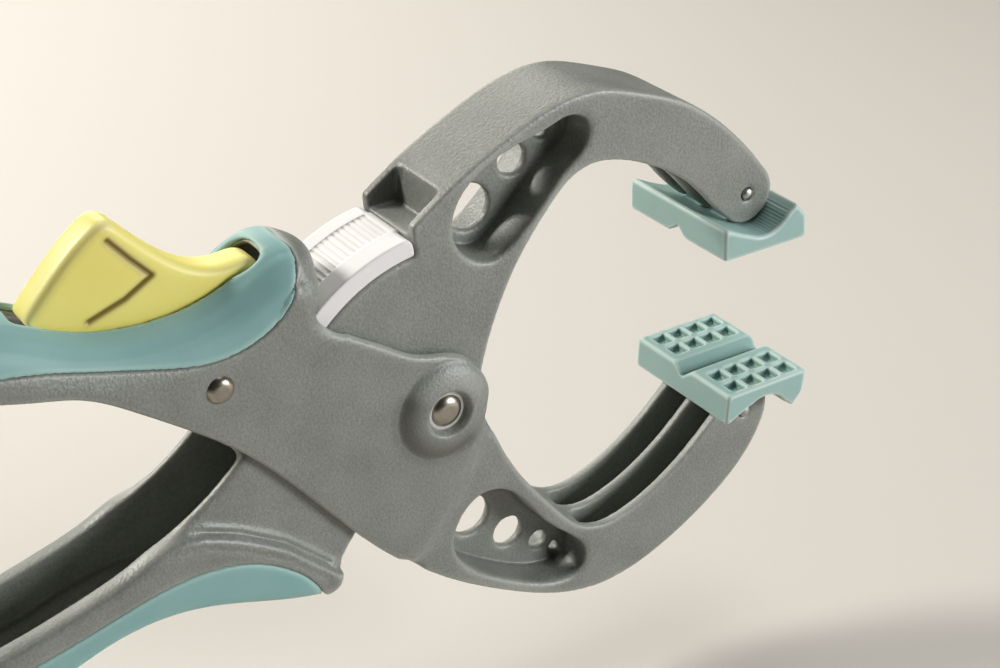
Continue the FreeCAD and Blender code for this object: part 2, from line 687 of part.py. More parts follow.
# Straight round pieces across the clamp, from part cylinders
def rod(label, place, radius, length, start):
    item = doc.addObject("Part::Cylinder", label)
    item.Label = label
    item.setExpression("Radius", radius)
    item.setExpression("Height", length)
    across = FreeCAD.Rotation(Vector(1, 0, 0), -90)
    item.Placement = FreeCAD.Placement(Vector(place[0], 0, place[1]), across)
    item.setExpression("Placement.Base.y", start)
    return item


def middle(length):
    return "-(" + length + ") / 2"


def tube(label, place, radius, bore, length, start):
    outside = rod(label + "_outside", place, radius, length, start)
    inside = rod(label + "_inside", place, bore, length, start)
    item = doc.addObject("Part::Cut", label)
    item.Label = label
    item.Base = outside
    item.Tool = inside
    return item


# A rivet: shank, and a low domed head on the near side turned from one profile
def rivet(label, place, shank_radius, head_radius, near, far):
    body = new_body(label)
    sketch = sketch_on(body, plain_name(label) + "Profile", "YZ_Plane")
    shank = size(shank_radius)
    head = size(head_radius)
    height = size("head_height")
    outline(sketch, (-near - height, 0.0),
            ("line", [(far, 0.0), (far, shank), (-near, shank), (-near, head)]),
            ("arc", [(-near - height * 0.74, head * 0.72), (-near - height, head * 0.3)]))
    turn = body.newObject("PartDesign::Revolution", plain_name(label) + "Turn")
    turn.Profile = sketch
    turn.ReferenceAxis = (sketch, ["H_Axis"])
    turn.Angle = 360
    doc.recompute()
    body.Placement = FreeCAD.Placement(Vector(place[0], 0, place[1]), FreeCAD.Rotation())
    return body


def release_lever():
    body = new_body("release_lever")
    sketch = sketch_on(body, "ReleaseSide")
    px, pz = release_pivot
    tip_radius = size("sector_outer") + 0.2
    outline(sketch, (-78.7, 40.0),
            ("curve", [(-75.2, 44.8), (-70.2, 50.2), (-64.9, 54.3)]),
            ("curve", [(-63.2, 54.8), (-61.4, 54.0)]),
            ("curve", [(-56.5, 48.9), (-52.0, 44.7), (-46.6, 41.2), (-40.0, 39.6), (-36.0, 38.9),
                       (-33.6, 36.8)]),
            ("curve", [(-31.6, 32.0), (-30.6, 28.0), polar(tip_radius, 141.6)]),
            ("line", [polar(tip_radius, 143.0)]),
            ("curve", [(-34.4, 25.8), (-40.0, 20.0), (px + 2.6, pz - 3.1)]),
            ("arc", [(px - 1.4, pz - 3.8), (px - 3.6, pz + 1.8)]),
            ("curve", [(-54.4, 27.6), (-58.8, 31.6), (-63.0, 33.5)]),
            ("line", [(-69.5, 33.7)]),
            ("curve", [(-75.0, 35.8), (-78.0, 38.4), (-78.7, 40.0)]))
    pad(body, sketch, "Sizes.release_width")
    bore = sketch_on(body, "ReleaseEye")
    circle(bore, release_pivot, "Sizes.release_pin_radius + Sizes.running_fit")
    cut(body, bore, "Sizes.release_width * 2")
    round_edges(body, "ReleaseRound", "Sizes.release_round",
                lambda edge: lies_at(edge, size("release_width") / 2) and edge.CenterOfMass.z > 39.0)
    return body


# Cells moulded into a pad's clamping face on both sides of its groove
cell_columns = 4
cell_start = 8.4
cell_step = 4.9
cell_width = 3.6
cell_depth = 4.0
cell_rows = (5.4, 10.9)


# Pads: the jaw tip rocks in the trough, and two lugs reach up to the pin inside the jaw
def pad_piece(label, pin, up):
    body = new_body(label)
    px, pz = pin
    face = size("pad_drop")
    trough = size("pad_trough")

    def at(x, z):
        return (px + x, pz + up * z)

    block = sketch_on(body, plain_name(label) + "Block")
    outline(block, at(-11.0, -face),
            ("line", [at(11.9, -face), at(11.3, -5.0), at(8.6, -1.9)]),
            ("line", [at(*polar(trough, -32))]),
            ("arc", [at(0.0, -trough), at(*polar(trough, -115))]),
            ("line", [at(-6.5, -5.0), at(-11.3, -2.7)]))
    pad(body, block, "Sizes.pad_length")
    half_length = size("pad_length") / 2
    round_edges(body, plain_name(label) + "Round", "Sizes.pad_round",
                lambda edge: lies_at(edge, half_length) or abs(edge.CenterOfMass.x - px) > 10.5)
    groove = sketch_on(body, plain_name(label) + "Groove", "YZ_Plane", offset="Sizes.jaw_reach / 2")
    wide = size("groove_width") / 2
    deep = size("groove_depth")
    face_z = pz - up * face
    under = face_z - up * 0.5
    outline(groove, (-wide, under), ("line", [(-wide, face_z), (0.0, face_z + up * deep), (wide, face_z),
                                              (wide, under)]))
    before = body.Tip
    valley = body.newObject("PartDesign::Pocket", plain_name(label) + "Valley")
    valley.Profile = groove
    valley.Reversed = True
    valley.setExpression("Length", "Sizes.jaw_reach + Sizes.pad_length")
    check_cut(before, valley)
    pockets = sketch_on(body, plain_name(label) + "Cells", "XY_Plane")
    for column in range(cell_columns):
        x = px - cell_start + column * cell_step
        for y in cell_rows:
            box_loop(pockets, (x, y), cell_width, cell_depth)
            box_loop(pockets, (x, -y - cell_depth), cell_width, cell_depth)
    pockets.AttachmentOffset = FreeCAD.Placement(Vector(0, 0, face_z), FreeCAD.Rotation())
    before = body.Tip
    cells = body.newObject("PartDesign::Pocket", plain_name(label) + "CellCut")
    cells.Profile = pockets
    cells.Reversed = up > 0
    cells.setExpression("Length", "Sizes.pocket_depth")
    check_cut(before, cells)
    lug = sketch_on(body, plain_name(label) + "Lug",
                    offset="Sizes.jaw_width / 2 - Sizes.rib_thickness - Sizes.lug_clearance")
    radius = size("lug_radius")
    outline(lug, at(-0.8 * radius, -trough - 0.6), ("line", [at(-radius, 0.0)]),
            ("arc", [at(0.0, radius), at(radius, 0.0)]), ("line", [at(0.8 * radius, -trough - 0.6)]))
    ear = pad_side(body, lug, channel_depth + " - 2 * Sizes.lug_clearance")
    ear.Reversed = True
    mirror(body, [ear], plain_name(label) + "Lugs")
    bore = sketch_on(body, plain_name(label) + "Bore")
    circle(bore, pin, "Sizes.pad_pin_radius + Sizes.running_fit")
    cut(body, bore, "Sizes.jaw_width")
    return body


def box_loop(sketch, corner, width, depth):
    x, y = corner
    outline(sketch, (x, y), ("line", [(x + width, y), (x + width, y + depth), (x, y + depth)]))


def feature(label, shape):
    item = doc.addObject("Part::Feature", label)
    item.Label = label
    item.Shape = shape
    return item


# Torsion spring round the bush: one leg in the lower handle, one in the fixed lever
def main_spring():
    wire = size("spring_wire")
    radius = size("spring_coil_radius")
    pitch = wire + size("turn_gap")
    start_angle, end_angle = 292.0, 194.0
    turns = size("spring_turns") - (start_angle - end_angle) / 360
    half = pitch * turns / 2
    helix = Part.makeHelix(pitch, pitch * turns, radius)
    rise = Vector(0, radius, pitch / (2 * math.pi))
    section = Part.Wire([Part.makeCircle(wire / 2, Vector(radius, 0, 0), rise)])
    coil = helix.makePipeShell([section], True, True)
    coil.rotate(Vector(0, 0, 0), Vector(0, 0, 1), start_angle)
    coil.translate(Vector(0, 0, -half))
    ends = [(start_angle, -half, (-3.2, -29.5)), (end_angle, half, (-26.0, -23.3))]
    solids = []
    for angle, across, foot in ends:
        x, z = polar(radius, angle)
        root = Vector(x, z, across)
        leg = Vector(foot[0], foot[1], across) - root
        solids.append(Part.makeCylinder(wire / 2, leg.Length, root, leg))
        solids.append(Part.makeSphere(wire / 2, root))
    shape = coil.fuse(solids)
    shape.rotate(Vector(0, 0, 0), Vector(1, 0, 0), 90)
    return shape


def release_spring():
    wire = size("release_spring_wire")
    radius = size("release_spring_radius")
    turns = size("release_spring_turns")
    x, top = spring_seat
    play = size("spring_play")
    low = shelf_top + wire / 2 + play
    height = top - shelf_top - wire - 2 * play
    steps = int(turns * spring_steps)
    places = []
    for step in range(steps + 1):
        across, along = polar(radius, 360 * step / spring_steps)
        places.append(Vector(across, along, height * step / steps))
    line = Part.BSplineCurve()
    line.interpolate(places)
    start = line.tangent(line.FirstParameter)[0]
    section = Part.Wire([Part.makeCircle(wire / 2, places[0], start)])
    coil = Part.Wire([line.toShape()]).makePipeShell([section], True, True)
    coil.translate(Vector(x, 0, low))
    return coil


def build():
    fixed_lever()
    fixed_lever_grip()
    moving_lever()
    moving_lever_grip()
    ratchet_sector()
    release_lever()
    head_seat = boss_face - size("recess_depth") + size("washer_thickness")
    rivet("main_rivet", (0, 0), "main_pin_radius", "main_head_radius", head_seat, head_seat + shank_end)
    main_bore = "Sizes.main_pin_radius + Sizes.running_fit"
    washer_start = side_face + " + Sizes.boss_rise - Sizes.recess_depth"
    tube("far_rivet_washer", (0, 0), "Sizes.washer_radius", main_bore, "Sizes.washer_thickness",
         washer_start)
    tube("near_rivet_washer", (0, 0), "Sizes.washer_radius", main_bore, "Sizes.washer_thickness",
         "-(" + washer_start + " + Sizes.washer_thickness)")
    bush_length = "Sizes.jaw_width + 2 * Sizes.side_clearance - 2 * Sizes.running_fit"
    tube("pivot_bush", (0, 0), "Sizes.bush_radius", main_bore, bush_length, middle(bush_length))
    rivet("release_rivet", release_pivot, "release_pin_radius", "release_head_radius", half_body,
          half_body + size("washer_thickness") + shank_end)
    tube("release_rivet_washer", release_pivot, "Sizes.release_head_radius",
         "Sizes.release_pin_radius + Sizes.running_fit", "Sizes.washer_thickness", side_face)
    pin_length = "Sizes.jaw_width + 4 * Sizes.running_fit"
    rod("upper_pad_pin", upper_pin, "Sizes.pad_pin_radius", pin_length, middle(pin_length))
    rod("lower_pad_pin", lower_pin, "Sizes.pad_pin_radius", pin_length, middle(pin_length))
    short_pin = "Sizes.jaw_width - 2 * Sizes.running_fit"
    pins = [rod("sector_pin_%d" % number, sector_pin_place(angle), "Sizes.sector_pin_radius", short_pin,
                middle(short_pin))
            for number, angle in enumerate(sector_pin_angles, start=1)]
    joined = doc.addObject("Part::Compound", "sector_pins")
    joined.Label = "sector_pins"
    joined.Links = pins
    pad_piece("upper_pad", upper_pin, 1)
    pad_piece("lower_pad", lower_pin, -1)
    feature("main_spring", main_spring())
    feature("release_spring", release_spring())


pieces = ["fixed_lever", "fixed_lever_grip", "moving_lever", "moving_lever_grip", "ratchet_sector",
          "sector_pins", "release_lever", "release_rivet", "release_rivet_washer", "release_spring",
          "main_rivet", "near_rivet_washer", "far_rivet_washer", "pivot_bush", "main_spring",
          "upper_pad", "lower_pad", "upper_pad_pin", "lower_pad_pin"]


def write_pieces():
    doc.recompute()
    for item in doc.Objects:
        if any(word in ("Invalid", "Error") for word in item.State):
            raise RuntimeError(item.Name + " failed")
    os.makedirs("parts", exist_ok=True)
    for label in pieces:
        item = doc.getObjectsByLabel(label)[0]
        shape = item.Shape
        print(label, shape.isValid(), len(shape.Solids), round(shape.Volume, 1), shape.BoundBox)
    for label in pieces:
        item = doc.getObjectsByLabel(label)[0]
        if item.Shape.isNull() or not item.Shape.isValid():
            raise RuntimeError(label + " has no valid shape")
        item.Shape.exportStep("parts/%s.step" % label)


build()
write_pieces()
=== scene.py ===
import bmesh
import bpy
import json
import math
import numpy as np
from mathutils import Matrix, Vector
from mathutils.bvhtree import BVHTree

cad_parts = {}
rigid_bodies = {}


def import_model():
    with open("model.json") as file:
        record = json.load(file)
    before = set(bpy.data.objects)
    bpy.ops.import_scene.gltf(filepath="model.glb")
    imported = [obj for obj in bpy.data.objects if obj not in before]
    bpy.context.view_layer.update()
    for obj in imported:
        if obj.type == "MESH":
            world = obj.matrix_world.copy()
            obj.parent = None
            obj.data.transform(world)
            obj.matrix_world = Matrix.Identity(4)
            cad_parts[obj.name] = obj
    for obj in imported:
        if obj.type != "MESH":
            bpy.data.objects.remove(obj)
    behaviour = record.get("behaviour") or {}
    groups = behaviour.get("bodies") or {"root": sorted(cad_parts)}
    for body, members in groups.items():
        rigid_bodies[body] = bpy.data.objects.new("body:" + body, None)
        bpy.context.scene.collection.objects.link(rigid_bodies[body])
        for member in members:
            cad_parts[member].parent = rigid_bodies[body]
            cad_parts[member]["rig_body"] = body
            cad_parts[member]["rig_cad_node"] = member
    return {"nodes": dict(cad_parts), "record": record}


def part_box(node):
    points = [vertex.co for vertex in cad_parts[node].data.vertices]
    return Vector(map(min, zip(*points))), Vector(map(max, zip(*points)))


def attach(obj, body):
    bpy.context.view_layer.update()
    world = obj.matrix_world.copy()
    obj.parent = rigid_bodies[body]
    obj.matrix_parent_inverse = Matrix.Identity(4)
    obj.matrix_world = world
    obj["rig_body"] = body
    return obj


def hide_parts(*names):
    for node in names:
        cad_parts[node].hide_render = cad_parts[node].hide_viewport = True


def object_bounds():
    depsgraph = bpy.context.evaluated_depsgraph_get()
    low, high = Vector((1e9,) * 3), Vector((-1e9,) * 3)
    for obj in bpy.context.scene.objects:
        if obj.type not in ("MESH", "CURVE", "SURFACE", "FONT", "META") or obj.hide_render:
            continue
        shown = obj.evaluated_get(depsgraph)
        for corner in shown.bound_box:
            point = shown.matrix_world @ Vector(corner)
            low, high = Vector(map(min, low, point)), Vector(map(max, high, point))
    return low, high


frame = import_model()
cadBox = [list(corner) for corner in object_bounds()]
mm = 0.001


# the camera stands where the photographer stood, its place in mm
view = {
    "place": (-171.425, -285.941, 196.130),
    "aim": (0.489081, 0.725093, -0.484810),
    "lens": 68.256,
    "sensor": 36,
    "near": 0.01,
    "far": 20,
}


def setCamera():
    bpy.ops.object.camera_add(location=[x * mm for x in view["place"]])
    camera = bpy.context.object
    camera.name = "photoCamera"
    camera.rotation_euler = Vector(view["aim"]).to_track_quat("-Z", "Y").to_euler()
    camera.data.lens = view["lens"]
    camera.data.sensor_width = view["sensor"]
    camera.data.clip_start = view["near"]
    camera.data.clip_end = view["far"]
    bpy.context.scene.camera = camera


# soft boxes over a pale floor, in mm apart from the floor's own size in metres
studio = {
    "floor": (0.68, 0.645, 0.60),
    "floorRoughness": 0.8,
    "floorSize": 6.0,
    "below": 28.0,   # room for the lower handle when the jaws stand open
    "sky": 0.025,
    "skyTint": (1.0, 0.985, 0.96),
    "lamps": [
        {"name": "windowBox", "place": (-475, 535, 485), "size": 210, "watts": 6.4,
         "tint": (1.0, 0.97, 0.91)},
        {"name": "frontBox", "place": (700, -790, 300), "size": 420, "watts": 8.8,
         "tint": (1.0, 1.0, 1.0)},
        {"name": "overheadBox", "place": (200, 60, 850), "size": 420, "watts": 1.7,
         "tint": (1.0, 0.985, 0.95)},
        {"name": "wallBox", "place": (220, 900, 430), "size": 640, "watts": 5.0,
         "tint": (1.0, 0.965, 0.89)},
    ],
}


def setStudio():
    floorLevel = cadBox[0][2] - studio["below"] * mm
    bpy.ops.mesh.primitive_plane_add(size=studio["floorSize"], location=(0, 0, floorLevel))
    floor = bpy.context.object
    floor.name = "floor"
    material = bpy.data.materials.new("paleFloor")
    material.use_nodes = True
    shader = material.node_tree.nodes["Principled BSDF"]
    shader.inputs["Base Color"].default_value = (*studio["floor"], 1)
    shader.inputs["Roughness"].default_value = studio["floorRoughness"]
    floor.data.materials.append(material)
    for lamp in studio["lamps"]:
        bpy.ops.object.light_add(type="AREA", location=[x * mm for x in lamp["place"]])
        light = bpy.context.object
        light.name = lamp["name"]
        light.data.size = lamp["size"] * mm
        light.data.energy = lamp["watts"]
        light.data.color = lamp["tint"]
        light.rotation_euler = (-light.location).to_track_quat("-Z", "Y").to_euler()
    world = bpy.data.worlds.new("studioSky")
    world.use_nodes = True
    background = world.node_tree.nodes["Background"]
    background.inputs["Color"].default_value = (*studio["skyTint"], 1)
    background.inputs["Strength"].default_value = studio["sky"]
    bpy.context.scene.world = world
    bpy.context.scene.view_settings.view_transform = "Standard"


setCamera()
setStudio()
print("camera and studio set")


# finishes, colours as linear light, grain as features per metre, depth in mm
# in the plastics, the lighter edge colour is painted highlight on edges and rims with a little wear, the
# darker hollow colour is painted shade, and the near-black colour is painted shade in grooves, tooth gaps and
# pocket walls
finishes = {
    "grey_plastic": {"colour": (0.18, 0.193, 0.173), "second": (0.275, 0.291, 0.265), "roughness": 0.44,
                     "grain": 1700, "depth": 0.14, "strength": 0.85, "speck": 0.6, "shine": 0.8,
                     "wear_and_highlight": (0.47, 0.48, 0.44), "painted_shade": (0.10, 0.105, 0.09), "mark": (0.03, 0.03, 0.03)},
    "teal_grip": {"colour": (0.235, 0.435, 0.425), "second": (0.27, 0.475, 0.465), "roughness": 0.52,
                  "grain": 3600, "depth": 0.03, "strength": 0.4, "wear_and_highlight": (0.42, 0.62, 0.58),
                  "painted_shade": (0.10, 0.20, 0.19), "mark": (0.05, 0.08, 0.08)},
    "teal_pad": {"colour": (0.31, 0.48, 0.455), "second": (0.34, 0.515, 0.49), "roughness": 0.42,
                 "grain": 2400, "depth": 0.04, "strength": 0.4, "wear_and_highlight": (0.66, 0.80, 0.74),
                 "painted_shade": (0.17, 0.31, 0.28), "mark": (0.06, 0.16, 0.14)},
    "yellow_plastic": {"colour": (0.94, 0.83, 0.205), "second": (0.96, 0.87, 0.25), "roughness": 0.42,
                       "grain": 1500, "depth": 0.03, "strength": 0.3, "wear_and_highlight": (0.96, 0.90, 0.50),
                       "painted_shade": (0.80, 0.66, 0.15), "mark": (0.17, 0.095, 0.008)},
    "white_plastic": {"colour": (0.88, 0.87, 0.87), "second": (0.91, 0.90, 0.905), "roughness": 0.4,
                      "grain": 1600, "depth": 0.02, "strength": 0.25, "wear_and_highlight": (0.90, 0.89, 0.90),
                      "painted_shade": (0.74, 0.72, 0.68), "mark": (0.03, 0.03, 0.025)},
    "steel": {"colour": (0.44, 0.41, 0.35), "second": (0.33, 0.30, 0.25), "roughness": 0.3,
              "grain": 900, "depth": 0.02, "strength": 0.3, "metal": 1.0},
    "washer_steel": {"colour": (0.72, 0.72, 0.69), "second": (0.60, 0.60, 0.57), "roughness": 0.42,
                     "grain": 1200, "depth": 0.02, "strength": 0.3, "metal": 0.55},
    "bush_steel": {"colour": (0.5, 0.5, 0.49), "second": (0.42, 0.42, 0.41), "roughness": 0.35,
                   "grain": 900, "depth": 0.01, "strength": 0.3, "metal": 1.0},
    "spring_steel": {"colour": (0.3, 0.3, 0.3), "second": (0.22, 0.22, 0.22), "roughness": 0.35,
                     "grain": 1400, "depth": 0.01, "strength": 0.3, "metal": 1.0},
}


# what the finishes share: the two noises, how their colours mix, and how much the marks cover
surface = {
    "cloud": 90,
    "cloudDetail": 4,
    "grainDetail": 2,
    "speck": 0.25,
    "shine": 0.5,
    "spread": (0.35, 0.65),
    "uneven": 0.06,
    # the painted highlight, the painted shade and the near-black painted shade, each at most this share of
    # the base colour
    "covers": {"wear_and_highlight": 0.55, "painted_shade": 0.75, "mark": 1.0},
}

# a mix node's sockets, which go by number
numberMix = {"share": 0, "first": 2, "second": 3, "out": 0}
colourMix = {"share": 0, "first": 6, "second": 7, "out": 2}


# lays a colour over another where a number marked on the mesh says so
def layOver(tree, below, colour, markName, most):
    mark = tree.nodes.new("ShaderNodeAttribute")
    mark.attribute_name = markName
    amount = tree.nodes.new("ShaderNodeMath")
    amount.operation = "MULTIPLY"
    amount.use_clamp = True
    amount.inputs[1].default_value = most
    tree.links.new(mark.outputs["Fac"], amount.inputs[0])
    over = tree.nodes.new("ShaderNodeMix")
    over.data_type = "RGBA"
    over.inputs[colourMix["second"]].default_value = (*colour, 1)
    tree.links.new(amount.outputs["Value"], over.inputs[colourMix["share"]])
    tree.links.new(below, over.inputs[colourMix["first"]])
    return over.outputs[colourMix["out"]]


def makeFinish(name):
    finish = finishes[name]
    material = bpy.data.materials.new(name)
    material.use_nodes = True
    nodes = material.node_tree.nodes
    links = material.node_tree.links
    shader = nodes["Principled BSDF"]
    shader.inputs["Metallic"].default_value = finish.get("metal", 0.0)
    shader.inputs["Specular IOR Level"].default_value = finish.get("shine", surface["shine"])
    place = nodes.new("ShaderNodeTexCoord")
    cloud = nodes.new("ShaderNodeTexNoise")
    cloud.inputs["Scale"].default_value = surface["cloud"]
    cloud.inputs["Detail"].default_value = surface["cloudDetail"]
    links.new(place.outputs["Object"], cloud.inputs["Vector"])
    grain = nodes.new("ShaderNodeTexNoise")
    grain.inputs["Scale"].default_value = finish["grain"]
    grain.inputs["Detail"].default_value = surface["grainDetail"]
    links.new(place.outputs["Object"], grain.inputs["Vector"])
    blendIn = nodes.new("ShaderNodeMix")
    blendIn.inputs[numberMix["share"]].default_value = finish.get("speck", surface["speck"])
    links.new(cloud.outputs["Fac"], blendIn.inputs[numberMix["first"]])
    links.new(grain.outputs["Fac"], blendIn.inputs[numberMix["second"]])
    spread = nodes.new("ShaderNodeMapRange")
    low, high = surface["spread"]
    spread.inputs["From Min"].default_value = low
    spread.inputs["From Max"].default_value = high
    links.new(blendIn.outputs[numberMix["out"]], spread.inputs["Value"])
    tone = nodes.new("ShaderNodeMix")
    tone.data_type = "RGBA"
    tone.inputs[colourMix["first"]].default_value = (*finish["colour"], 1)
    tone.inputs[colourMix["second"]].default_value = (*finish["second"], 1)
    links.new(spread.outputs["Result"], tone.inputs[colourMix["share"]])
    colour = tone.outputs[colourMix["out"]]
    # painted highlights and painted shade are laid over the base colour here
    for markName, most in surface["covers"].items():
        if markName in finish:
            colour = layOver(material.node_tree, colour, finish[markName], markName, most)
    links.new(colour, shader.inputs["Base Color"])
    wear = nodes.new("ShaderNodeMapRange")
    wear.inputs["To Min"].default_value = finish["roughness"] - surface["uneven"]
    wear.inputs["To Max"].default_value = finish["roughness"] + surface["uneven"]
    links.new(cloud.outputs["Fac"], wear.inputs["Value"])
    links.new(wear.outputs["Result"], shader.inputs["Roughness"])
    bump = nodes.new("ShaderNodeBump")
    bump.inputs["Strength"].default_value = finish["strength"]
    bump.inputs["Distance"].default_value = finish["depth"] * mm
    links.new(grain.outputs["Fac"], bump.inputs["Height"])
    links.new(bump.outputs["Normal"], shader.inputs["Normal"])
    return material


materials = {name: makeFinish(name) for name in finishes}
slotOf = {row["node"]: row["material_slot"] for row in frame["record"]["subparts"]}
bodyOf = {name: body for body, names in frame["record"]["behaviour"]["bodies"].items() for name in names}
for nodeName, node in frame["nodes"].items():
    node.data.materials.clear()
    node.data.materials.append(materials[slotOf[nodeName]])
print("finishes laid on", len(frame["nodes"]), "nodes")


# rounding: a moulded copy of a node is skinned in fine voxels and its edges relax
rounding = {
    "weld": 0.000002,   # metres between two corners that become one
    "passes": 4,   # of smoothing, for a softness of one voxel
    "levels": 10,   # steps of a vertex group's weights
    "swell": 0.08,   # mm that a plug grows, so that it joins its lever
    "outside": 0.6,   # voxels from the joined body's skin that still count as outside
    "triangles": 190000,   # the most that a piece keeps
}
coarse = 1.0
tiny = 1e-6   # keeps a division away from zero
pastSides = 99   # mm from the middle plane, beyond both sides
anyRadius = (-2, -1)   # mm from the pivot, passed by every point


def only(thing):
    bpy.ops.object.select_all(action="DESELECT")
    thing.select_set(True)
    bpy.context.view_layer.objects.active = thing


def copyOf(nodeName, name):
    only(frame["nodes"][nodeName])
    bpy.ops.object.duplicate()
    piece = bpy.context.object
    piece.name = name
    piece.parent = None
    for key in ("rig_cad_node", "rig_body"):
        if key in piece:
            del piece[key]
    bpy.ops.object.mode_set(mode="EDIT")
    bpy.ops.mesh.select_all(action="SELECT")
    bpy.ops.mesh.remove_doubles(threshold=rounding["weld"])
    bpy.ops.object.mode_set(mode="OBJECT")
    return piece


def applyModifier(piece, modifier):
    only(piece)
    bpy.ops.object.modifier_apply(modifier=modifier.name)


def voxelSkin(piece, voxel):
    skin = piece.modifiers.new("voxelSkin", "REMESH")
    skin.mode = "VOXEL"
    skin.voxel_size = voxel * mm
    applyModifier(piece, skin)


def relax(piece, softness, voxel, group=""):
    ease = piece.modifiers.new("relax", "SMOOTH")
    ease.factor = 1.0
    ease.iterations = max(1, round(rounding["passes"] * (softness / voxel) ** 2))
    ease.vertex_group = group
    applyModifier(piece, ease)


def places(piece):
    spots = np.zeros(len(piece.data.vertices) * 3)
    piece.data.vertices.foreach_get("co", spots)
    return spots.reshape(-1, 3) / mm


def setPlaces(piece, spots):
    piece.data.vertices.foreach_set("co", (spots * mm).ravel())
    piece.data.update()


# distance from a line, both seen from the side
def lineDistance(spots, line):
    flat = spots[:, [0, 2]]
    nearest = np.full(len(flat), np.inf)
    for start, end in zip(line[:-1], line[1:]):
        start, end = np.array(start), np.array(end)
        along = end - start
        share = np.clip(((flat - start) @ along) / max(along @ along, tiny), 0, 1)
        nearest = np.minimum(nearest, np.linalg.norm(flat - start - share[:, None] * along, axis=1))
    return nearest


# 0 below the low value and 1 above the high one, with soft ends
def smooth(values, low, high):
    share = np.clip((values - low) / (high - low), 0, 1)
    return share * share * (3 - 2 * share)


# a smooth line through a few points
def smoothLine(points, steps=6):
    spots = np.array([points[0], *points, points[-1]], dtype=float)
    line = []
    for before, start, end, after in zip(spots[:-3], spots[1:-2], spots[2:-1], spots[3:]):
        for step in range(steps):
            part = step / steps
            line.append(start + 0.5 * part * (end - before + part * (2 * before - 5 * start + 4 * end - after
                                              + part * (3 * start - before - 3 * end + after))))
    line.append(spots[-1])
    return np.array(line)


# depth below a line, the way that the line faces there, and how far along it
def belowLine(spots, line):
    flat = spots[:, [0, 2]]
    steps = np.diff(line, axis=0)
    lengths = np.linalg.norm(steps, axis=1)
    facing = np.stack([steps[:, 1], -steps[:, 0]], axis=1) / lengths[:, None]
    corners = np.vstack([facing[:1], facing[:-1] + facing[1:], facing[-1:]])
    corners /= np.linalg.norm(corners, axis=1)[:, None]
    nearest = np.full(len(flat), np.inf)
    depth, way = np.zeros(len(flat)), np.zeros(len(flat))
    out = np.zeros((len(flat), 2))
    for index, step in enumerate(steps):
        share = np.clip(((flat - line[index]) @ step) / lengths[index] ** 2, 0, 1)
        gap = flat - line[index] - share[:, None] * step
        normal = corners[index] + share[:, None] * (corners[index + 1] - corners[index])
        normal /= np.linalg.norm(normal, axis=1)[:, None]
        distance = np.linalg.norm(gap, axis=1)
        near = distance < nearest
        nearest[near] = distance[near]
        depth[near] = -(gap * normal).sum(axis=1)[near]
        out[near] = normal[near]
        way[near] = (lengths[:index].sum() + share * lengths[index])[near]
    return depth, out, way


# draws a flat crown with round edges into a half round one, less and less with depth
def dome(spots, settings):
    deep = settings["deep"]
    flatPower = settings["flatPower"]
    narrowFrom, narrowTo = settings["narrow"]
    sinkFrom, sinkTo = settings["sink"]
    depth, out, way = belowLine(spots, smoothLine(settings["line"]))
    wide = abs(spots[:, 1])
    power = np.interp(way, settings["way"], settings["power"])
    across = wide / settings["half"]
    high = np.clip(1 - depth / deep, tiny, settings["highest"])
    length = np.hypot(across, high)
    boxy = ((across / length) ** flatPower + (high / length) ** flatPower) ** (-1 / flatPower)
    rounded = ((across / length) ** power + (high / length) ** power) ** (-1 / power)
    share = 1 + (rounded / boxy - 1) * (1 - smooth(depth, narrowFrom * deep, narrowTo * deep))
    sink = (deep - depth) * (1 - share)
    sink *= 1 - smooth(depth, sinkFrom * deep, sinkTo * deep)
    sink[depth > deep] = 0
    spots[:, 0] -= out[:, 0] * sink
    spots[:, 2] -= out[:, 1] * sink
    spots[:, 1] *= 1 + (share - 1) * smooth(wide, *settings["sides"])


# moves what lies round a spot, within limits across the clamp and from the pivot
def push(spots, settings):
    flat = spots[:, [0, 2]]
    weight = np.exp(-(np.linalg.norm(flat - settings["at"], axis=1) / settings["reach"]) ** 2)
    weight *= np.exp(-(spots[:, 1] / settings.get("across", pastSides)) ** 2)
    radius = np.linalg.norm(flat, axis=1)
    weight *= smooth(radius, *settings.get("outside", anyRadius))
    spots[:, 0] += settings["step"][0] * weight
    spots[:, 2] += settings["step"][1] * weight


# a low bead, or a groove where the height is negative, along a line on the sides
def bead(spots, settings):
    side = np.sign(spots[:, 1])
    rise = settings["height"] * np.exp(-(lineDistance(spots, settings["line"]) / settings["width"]) ** 2)
    rise[abs(spots[:, 1]) < settings["above"]] = 0
    rise[side * settings.get("side", 0) < 0] = 0
    spots[:, 1] += side * rise


# the flat boss round the pivot becomes a shallow dome that falls away to its edge
def domeBoss(spots, settings):
    radius = np.linalg.norm(spots[:, [0, 2]], axis=1)
    wide = abs(spots[:, 1])
    share = np.clip(1 - (radius / settings["radius"]) ** 2, 0, 1) ** settings["fall"]
    rise = (wide - settings["face"]) * (settings["rise"] / settings["old"] * share - 1)
    rise *= smooth(radius, *settings["recess"])
    rise[(wide < settings["face"]) | (radius > settings["end"])] = 0
    spots[:, 1] += np.sign(spots[:, 1]) * rise


# fine ridges along a pad's trough, for grip on the jaw tip
def troughRidges(spots, settings):
    gap = spots[:, [0, 2]] - settings["pin"]
    radius = np.linalg.norm(gap, axis=1)
    turn = np.arctan2(gap[:, 0], gap[:, 1] * settings["down"])
    wave = 0.5 - 0.5 * np.cos(turn * settings["radius"] / settings["pitch"] * 2 * math.pi)
    weight = smooth(turn, *settings["first"]) * (1 - smooth(turn, *settings["last"]))
    weight *= 1 - smooth(abs(radius - settings["radius"]), *settings["skin"])
    weight *= 1 - smooth(abs(spots[:, 1]), *settings["ends"])
    step = settings["height"] * wave * weight / radius
    spots[:, 0] += gap[:, 0] * step
    spots[:, 2] += gap[:, 1] * step


